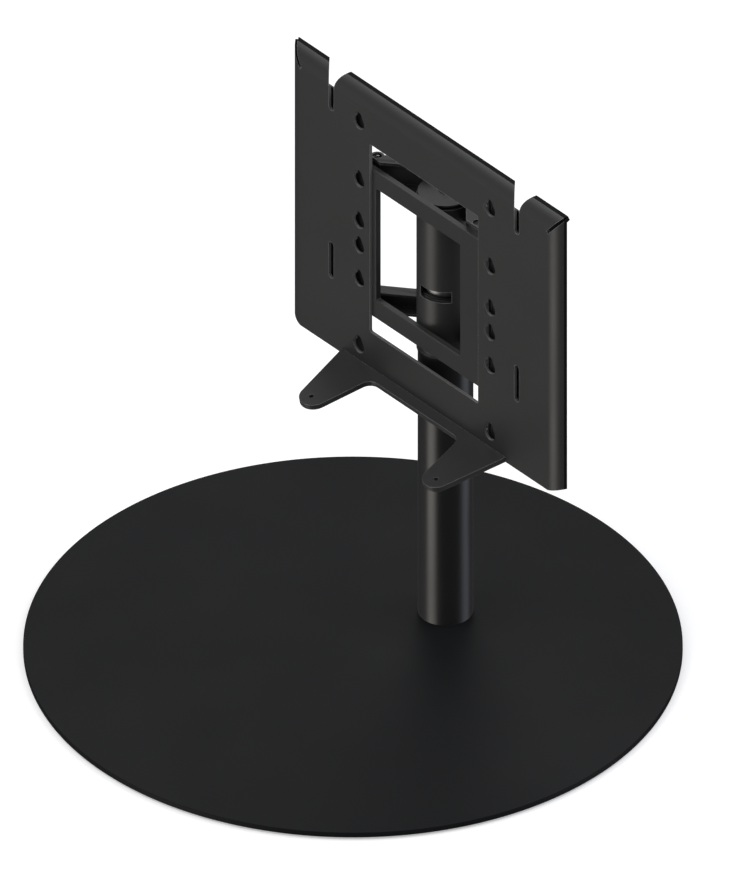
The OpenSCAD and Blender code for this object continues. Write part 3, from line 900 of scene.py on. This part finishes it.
def ear_bracket():
    """Bracket with two ears, butted on the plate's front at its lower edge."""
    right = ear_half()
    outline = right + [(-x, reach) for x, reach in reversed(right)]
    root = PLATE_ORIGIN + Vector((0, -PLATE_T, EAR_T / math.cos(EAR_SLOPE)))
    ahead = Vector((0, -math.cos(EAR_SLOPE), -math.sin(EAR_SLOPE)))
    down = Vector((0, math.sin(EAR_SLOPE), -math.cos(EAR_SLOPE)))
    points = [root + Vector((x, 0, 0)) + ahead * reach for x, reach in outline]
    piece = prism("ear_bracket", points, down * EAR_T)
    cutters = []
    for side in (-1, 1):
        centre = (side * EAR_HOLE_X, EAR_HOLE_REACH)
        ring = arc(centre, EAR_HOLE_R, 0, TURN, EAR_HOLE_ROUND)[:-1]
        top = root - down * OVERRUN
        points = [top + Vector((x, 0, 0)) + ahead * reach for x, reach in ring]
        cutters.append(prism("ear_hole", points, down * (EAR_T + 2 * OVERRUN)))
    cut_out(piece, cutters)
    reopen(piece)
    trim((0, PLATE_FRONT, 0), (0, 1, 0), filled=True)
    close()
    return soften(piece, BAR_EDGE)


def new_group(name, inputs):
    """A finish as a node group: its inputs, the usual outputs and the place on the piece."""
    tree = bpy.data.node_groups.new(name, "ShaderNodeTree")
    for label, value in inputs.items():
        kind = "NodeSocketFloat" if isinstance(value, float) else "NodeSocketColor"
        entry = tree.interface.new_socket(name=label, in_out="INPUT", socket_type=kind)
        entry.default_value = value
    for label, kind in GROUP_OUTPUTS:
        tree.interface.new_socket(name=label, in_out="OUTPUT", socket_type=kind)
    start = tree.nodes.new("NodeGroupInput")
    place = tree.nodes.new("ShaderNodeTexCoord").outputs["Object"]
    return tree, start.outputs, place


def give_out(tree, *results):
    """Joins a group's colour, roughness and height to its outputs."""
    end = tree.nodes.new("NodeGroupOutput")
    for (label, _), result in zip(GROUP_OUTPUTS, results):
        tree.links.new(result, end.inputs[label])
    return tree


def put(tree, source, entry):
    """Links a source to a node's entry, or sets the entry where the source is a plain value."""
    if isinstance(source, bpy.types.NodeSocket):
        tree.links.new(source, entry)
    else:
        entry.default_value = source


def noise(tree, coords, scale, detail):
    """A noise texture's value on the given coordinates."""
    node = tree.nodes.new("ShaderNodeTexNoise")
    for label, source in (("Vector", coords), ("Scale", scale), ("Detail", detail)):
        put(tree, source, node.inputs[label])
    return node.outputs["Fac"]


def between(tree, value, low, high, start=0.0, end=1.0):
    """A value of one range carried over to another range."""
    node = tree.nodes.new("ShaderNodeMapRange")
    sources = {"Value": value, "From Min": start, "From Max": end, "To Min": low, "To Max": high}
    for label, source in sources.items():
        put(tree, source, node.inputs[label])
    return node.outputs["Result"]


def sum_of(tree, operation, a, b):
    """One step of arithmetic on two values, either of which may be a plain number."""
    node = tree.nodes.new("ShaderNodeMath")
    node.operation = operation
    put(tree, a, node.inputs[0])
    put(tree, b, node.inputs[1])
    return node.outputs["Value"]


def vector_step(tree, operation, a, b):
    """One step on two vectors or colours: the node's vector, or its value for a product."""
    node = tree.nodes.new("ShaderNodeVectorMath")
    node.operation = operation
    put(tree, a, node.inputs[0])
    put(tree, b, node.inputs[1])
    return node.outputs["Value" if operation == "DOT_PRODUCT" else "Vector"]


def scaled(tree, colour, share):
    """A colour made darker or lighter by a share that varies over the surface."""
    node = tree.nodes.new("ShaderNodeVectorMath")
    node.operation = "SCALE"
    put(tree, colour, node.inputs[0])
    put(tree, share, node.inputs["Scale"])
    return node.outputs["Vector"]


def mixed(tree, share, a, b):
    """Two colours mixed by a share."""
    node = tree.nodes.new("ShaderNodeMix")
    node.data_type = "RGBA"
    for label, source in (("Factor", share), ("A", a), ("B", b)):
        kind = "VALUE" if label == "Factor" else "RGBA"
        entry = next(s for s in node.inputs if s.name == label and s.type == kind)
        put(tree, source, entry)
    return next(s for s in node.outputs if s.type == "RGBA")


def powder_coat_group():
    """Sprayed powder coat: orange peel, fine sparkle, soft clouds of gloss and a painted highlight on rounded
    edges.
    """
    inputs = {
        "Colour": (0.03, 0.03, 0.03, 1),
        "Edge Highlight Colour": (0.1, 0.1, 0.1, 1),
        "Roughness": 0.4,
    }
    tree, start, place = new_group("powder_coat", inputs)
    peel = noise(tree, place, PEEL_SCALE, 2.0)
    speck = noise(tree, place, SPECK_SCALE, 1.0)
    cloud = noise(tree, place, CLOUD_SCALE, 3.0)
    fleck = between(tree, speck, 0.9, 1.12, *NOISE_SPAN)
    shade = between(tree, cloud, 0.95, 1.05, *NOISE_SPAN)
    body = scaled(tree, start["Colour"], sum_of(tree, "MULTIPLY", fleck, shade))
    # Painted highlight: near rounded edges, where the bevel normal leaves the face normal, the colour turns to the
    # lighter edge colour in place of light caught by the edges
    bevel = tree.nodes.new("ShaderNodeBevel")
    bevel.samples = 4
    bevel.inputs["Radius"].default_value = EDGE_GLINT
    face = tree.nodes.new("ShaderNodeNewGeometry")
    same = vector_step(tree, "DOT_PRODUCT", bevel.outputs["Normal"], face.outputs["Normal"])
    edge = between(tree, same, 1.0, 0.0, 0.8, 0.99)
    colour = mixed(tree, edge, body, start["Edge Highlight Colour"])
    gloss = between(tree, cloud, -0.03, 0.03, *NOISE_SPAN)
    return give_out(tree, colour, sum_of(tree, "ADD", start["Roughness"], gloss), peel)


def turned_steel_group():
    """Turned or drawn steel: fine rings round the axis and soft stains."""
    inputs = {"Colour": (0.3, 0.3, 0.31, 1), "Roughness": 0.35, "Ring Scale": 900.0}
    tree, start, place = new_group("turned_steel", inputs)
    rings = tree.nodes.new("ShaderNodeTexWave")
    rings.bands_direction = "Z"
    rings.inputs["Distortion"].default_value = 1.5
    rings.inputs["Detail"].default_value = 2.0
    tree.links.new(place, rings.inputs["Vector"])
    tree.links.new(start["Ring Scale"], rings.inputs["Scale"])
    stain = noise(tree, place, STAIN_SCALE, 3.0)
    shade = between(tree, stain, 0.8, 1.1, *NOISE_SPAN)
    colour = scaled(tree, start["Colour"], shade)
    gloss = between(tree, rings.outputs["Fac"], -0.06, 0.06)
    rough = sum_of(tree, "ADD", start["Roughness"], gloss)
    return give_out(tree, colour, rough, rings.outputs["Fac"])


def moulded_group():
    """Moulded plastic or rubber: a fine spark-eroded grain and faint bloom."""
    inputs = {"Colour": (0.02, 0.02, 0.02, 1), "Roughness": 0.6, "Grain Scale": 1500.0}
    tree, start, place = new_group("moulded_grain", inputs)
    grain = tree.nodes.new("ShaderNodeTexVoronoi")
    tree.links.new(place, grain.inputs["Vector"])
    tree.links.new(start["Grain Scale"], grain.inputs["Scale"])
    bloom = noise(tree, place, BLOOM_SCALE, 3.0)
    shade = between(tree, bloom, 0.85, 1.25, *NOISE_SPAN)
    colour = scaled(tree, start["Colour"], shade)
    gloss = between(tree, bloom, -0.05, 0.05, *NOISE_SPAN)
    rough = sum_of(tree, "ADD", start["Roughness"], gloss)
    return give_out(tree, colour, rough, grain.outputs["Distance"])


def finish_of(name, tree, values, relief, strength, metallic=0.0, level=0.5):
    """A finish: one of the groups with its own values, on a shader of its own."""
    material = bpy.data.materials.new(name)
    material.use_nodes = True
    nodes, links = material.node_tree.nodes, material.node_tree.links
    shader = nodes["Principled BSDF"]
    shader.inputs["Metallic"].default_value = metallic
    shader.inputs["Specular IOR Level"].default_value = level
    group = nodes.new("ShaderNodeGroup")
    group.node_tree = tree
    for label, value in values.items():
        group.inputs[label].default_value = value
    bump = nodes.new("ShaderNodeBump")
    bump.inputs["Distance"].default_value = relief
    bump.inputs["Strength"].default_value = strength
    links.new(group.outputs["Height"], bump.inputs["Height"])
    links.new(group.outputs["Colour"], shader.inputs["Base Color"])
    links.new(group.outputs["Roughness"], shader.inputs["Roughness"])
    links.new(bump.outputs["Normal"], shader.inputs["Normal"])
    return material


def grey(value, warmth=0.0):
    """A near-black colour, a little warmer or cooler than neutral."""
    return (value * (1 + warmth), value, value * (1 - warmth), 1)


def coat(name, colour, edge, roughness, level=0.5):
    """One of the powder coats of the stand, with its painted edge highlight."""
    values = {"Colour": colour, "Edge Highlight Colour": edge, "Roughness": roughness}
    return finish_of(name, COAT, values, COAT_RELIEF, COAT_STRENGTH, level=level)


GROUP_OUTPUTS = (
    ("Colour", "NodeSocketColor"),
    ("Roughness", "NodeSocketFloat"),
    ("Height", "NodeSocketFloat"),
)
NOISE_SPAN = (0.3, 0.7)
PEEL_SCALE = 420
SPECK_SCALE = 1900
CLOUD_SCALE = 9
STAIN_SCALE = 60
BLOOM_SCALE = 40
EDGE_GLINT = 0.7 * MM
COAT_RELIEF = 0.03 * MM
COAT_STRENGTH = 0.5
COAT = powder_coat_group()
TURNED = turned_steel_group()
MOULDED = moulded_group()
PLASTIC = {"Colour": grey(0.012), "Roughness": 0.5, "Grain Scale": 1500.0}
RUBBER = {"Colour": grey(0.012), "Roughness": 0.75, "Grain Scale": 900.0}
SCREW_STEEL = {"Colour": grey(0.08, -0.02), "Roughness": 0.32, "Ring Scale": 900.0}
SHAFT_STEEL = {"Colour": grey(0.30, -0.01), "Roughness": 0.38, "Ring Scale": 500.0}

# Coats: colour, colour of the painted edge highlight, roughness, specular level
# Others: group, its values, depth of the relief, its strength, metallic
FINISHES = {
    "base_coat": coat("floor_plate_coat", grey(0.0085, -0.06), grey(0.03, -0.05), 0.5, 0.1),
    "pole_coat": coat("pole_coat", grey(0.010), grey(0.05), 0.34, 0.5),
    "head_coat": coat("head_coat", grey(0.022, 0.01), grey(0.3), 0.40, 0.4),
    "plate_coat": coat("plate_coat", grey(0.025, 0.02), grey(0.35), 0.40, 0.4),
    "bush_plastic": finish_of("bush_plastic", MOULDED, PLASTIC, 0.02 * MM, 0.4),
    "foot_pad": finish_of("foot_rubber", MOULDED, RUBBER, 0.05 * MM, 0.5),
    "fastener": finish_of("fastener_steel", TURNED, SCREW_STEEL, 0.01 * MM, 0.3, 1.0),
    "bare_steel": finish_of("turned_bare_steel", TURNED, SHAFT_STEEL, 0.02 * MM, 0.4, 1.0),
}

# Painted shade: near-black coat for the rolled edges past their crest, the mitre gaps and the notch walls, where
# shade falls
ROLLED_SHADE_COAT = coat("rolled_edge_painted_shade", grey(0.006), grey(0.02), 0.6, 0.1)
# Painted light: lighter coat for the cut walls of the window, keyholes and slots, in place of the light they would
# catch
CUT_WALL_LIGHT_COAT = coat("cut_wall_painted_light", grey(0.10), grey(0.25), 0.4, 0.4)


def dress(piece, body, nodes, slot):
    """Gives a piece its finish and its body, and hides the CAD nodes that it stands for."""
    piece.data.materials.clear()
    piece.data.materials.append(FINISHES[slot])
    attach(piece, body)
    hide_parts(*nodes)


def paint_shade_and_light(piece):
    """Paints shade on the plate's rolled edges, mitre gaps and notch walls with a darker coat, and paints light on
    its cut walls with a lighter one.
    """
    piece.data.materials.append(ROLLED_SHADE_COAT)
    piece.data.materials.append(CUT_WALL_LIGHT_COAT)
    half_gap = MITRE_GAP / 2 + 2 * NEAR
    for face in piece.data.polygons:
        spot = face.center - PLATE_ORIGIN
        out, up = abs(spot.x) - BEND_X, spot.z - PLATE_H
        rise = math.atan2(up, TOP_R - PLATE_T - spot.y)
        spread = math.atan2(out, SIDE_R - PLATE_T - spot.y)
        across = abs(out * CURL_RISE - up * CURL_OUT) / MITRE_LEN
        in_mitre = out > 0 and up > 0 and across < half_gap
        at_notch = up > 0 and abs(abs(spot.x) - SLIT_X) < NOTCH_TOP_HALF
        inside = out < -RIM_MARGIN and RIM_MARGIN < spot.z < PLATE_H - RIM_MARGIN
        # Painted shade on the rolled faces past the crest, in the mitre gaps and on the notch walls
        if max(rise, spread) > PAINTED_SHADE_FROM or in_mitre or at_notch and face.normal.x > ASIDE:
            face.material_index = 1
        # Painted light on the cut walls of the window, keyholes and slots
        elif inside and -PLATE_T < spot.y < 0 and abs(face.normal.y) < AHEAD:
            face.material_index = 2


for node in frame["nodes"].values():
    node.data.materials.clear()
for part in frame["record"]["subparts"]:
    frame["nodes"][part["node"]].data.materials.append(FINISHES[part["material_slot"]])

base = floor_plate()
base.visible_glossy = False
dress(base, "stand", ["base_plate"], "base_coat")
dress(foot_pads(), "stand", ["base_feet"], "foot_pad")
dress(pole(), "stand", ["pole_tube"], "pole_coat")
dress(floor_screws(), "stand", ["base_screws"], "fastener")
dress(top_cap(), "stand", ["top_cap"], "head_coat")
dress(cap_screw(), "stand", ["cap_screw"], "fastener")

dress(sleeve(), "head", ["sleeve"], "head_coat")
dress(lower_bush(), "head", ["lower_bush"], "bush_plastic")
dress(upper_bush(), "head", ["upper_bush"], "bush_plastic")
dress(stop_screw(), "head", ["stop_screw"], "fastener")
dress(carrier_frame(), "head", ["carrier_frame"], "head_coat")
for height, z, h in (("upper", UP_ARM_Z, UP_ARM_H), ("lower", LOW_ARM_Z, LOW_ARM_H)):
    right_arm = arm(f"{height}_right_arm", z, h, height == "upper")
    left_arm = mirrored(right_arm, f"{height}_left_arm", AXIS_X)
    dress(right_arm, "head", [f"arm_{height}_right"], "head_coat")
    dress(left_arm, "head", [f"arm_{height}_left"], "head_coat")
plate = mounting_plate()
dress(plate, "head", ["tv_plate"], "plate_coat")
paint_shade_and_light(plate)
right_rail = rail()
left_rail = mirrored(right_rail, "left_rail", PLATE_X)
right_rail.name = "right_rail"
dress(right_rail, "head", ["rail_right"], "head_coat")
dress(left_rail, "head", ["rail_left"], "head_coat")
dress(ear_bracket(), "head", ["ear_bracket"], "plate_coat")


# Camera: a parallel view from the front right, as in the photograph
VIEW_AZIMUTH = 49.44
VIEW_ELEVATION = 34.8
VIEW_POINT = Vector((37.5, 0, 271.4)) * MM
VIEW_DISTANCE = 3.0
PICTURE_H = 886
PIXELS_PER_MM = 1.0072


def direction(azimuth, elevation):
    """Unit vector to a place in the studio: degrees round from the front, and upwards."""
    a, e = math.radians(azimuth), math.radians(elevation)
    return Vector((math.sin(a) * math.cos(e), -math.cos(a) * math.cos(e), math.sin(e)))


def camera():
    """The photograph's own viewpoint."""
    back = direction(VIEW_AZIMUTH, VIEW_ELEVATION)
    bpy.ops.object.camera_add(location=VIEW_POINT + back * VIEW_DISTANCE)
    eye = bpy.context.active_object
    eye.name = "camera"
    eye.rotation_euler = (-back).to_track_quat("-Z", "Y").to_euler()
    eye.data.type = "ORTHO"
    eye.data.ortho_scale = PICTURE_H / PIXELS_PER_MM * MM
    eye.data.clip_end = 4 * VIEW_DISTANCE
    bpy.context.scene.camera = eye


def floor():
    """Plain white floor that keeps the stand's shadow."""
    bpy.ops.object.select_all(action="DESELECT")
    bpy.ops.mesh.primitive_plane_add(size=FLOOR_SIZE)
    sheet = bpy.context.active_object
    sheet.name = "floor"
    material = bpy.data.materials.new("floor_white")
    material.use_nodes = True
    tree = material.node_tree
    shader = tree.nodes["Principled BSDF"]
    shader.inputs["Base Color"].default_value = (FLOOR_SHADE, FLOOR_SHADE, FLOOR_SHADE, 1)
    shader.inputs["Roughness"].default_value = 1.0
    shader.inputs["Specular IOR Level"].default_value = 0.0
    shader.inputs["Emission Color"].default_value = (1, 1, 1, 1)
    rays = tree.nodes.new("ShaderNodeLightPath")
    lift = sum_of(tree, "MULTIPLY", rays.outputs["Is Camera Ray"], FLOOR_LIFT)
    tree.links.new(lift, shader.inputs["Emission Strength"])
    sheet.data.materials.append(material)
    sheet.visible_glossy = False


def studio():
    """World of the studio: white to the camera, plain light, soft panels in reflections."""
    world = bpy.data.worlds.new("studio")
    bpy.context.scene.world = world
    world.use_nodes = True
    tree = world.node_tree
    tree.nodes.clear()
    rays = tree.nodes.new("ShaderNodeLightPath")
    look = tree.nodes.new("ShaderNodeTexCoord").outputs["Generated"]
    glow = DIM_ROOM
    for azimuth, elevation, inner, outer, colour in PANELS:
        near = vector_step(tree, "DOT_PRODUCT", look, direction(azimuth, elevation))
        rim, core = (math.cos(math.radians(angle)) for angle in (outer, inner))
        share = between(tree, near, 0.0, 1.0, rim, core)
        share.node.interpolation_type = "SMOOTHSTEP"
        glow = vector_step(tree, "ADD", glow, scaled(tree, colour, share))
    shown = mixed(tree, rays.outputs["Is Glossy Ray"], (*AMBIENT, 1), glow)
    shown = mixed(tree, rays.outputs["Is Camera Ray"], shown, (1, 1, 1, 1))
    light = tree.nodes.new("ShaderNodeBackground")
    out = tree.nodes.new("ShaderNodeOutputWorld")
    tree.links.new(shown, light.inputs["Color"])
    tree.links.new(light.outputs["Background"], out.inputs["Surface"])


def lamp(name, azimuth, elevation, distance, size, power, colour):
    """A square soft box that looks at the stand."""
    way = direction(azimuth, elevation)
    bpy.ops.object.light_add(type="AREA", location=VIEW_POINT + way * distance)
    box = bpy.context.active_object
    box.name = name
    box.rotation_euler = (-way).to_track_quat("-Z", "Y").to_euler()
    box.data.size = size
    box.data.energy = power
    box.data.color = colour


FLOOR_SIZE = 12.0
FLOOR_SHADE = 0.8
FLOOR_LIFT = 0.35
AMBIENT = (0.62, 0.62, 0.64)
DIM_ROOM = (0.08, 0.08, 0.085)
PANELS = [
    (-11, -35, 3, 21, (3.0, 2.85, 2.65)),
    (139, -35, 4, 22, (0.85, 0.9, 1.0)),
    (-53, 39, 6, 30, (1.0, 1.07, 1.2)),
    (-41, -8, 4, 22, (0.45, 0.48, 0.52)),
    (-49, -35, 10, 30, (0.1, 0.095, 0.09)),
    (-131, 35, 6, 30, (1.1, 1.1, 1.1)),
]

camera()
floor()
studio()
lamp("key_box", -35, 55, 2.6, 1.6, 22, (1.0, 0.98, 0.95))
lamp("back_box", 150, 50, 2.6, 1.4, 20, (0.94, 0.97, 1.0))

scene = bpy.context.scene
scene.view_settings.view_transform = "Standard"
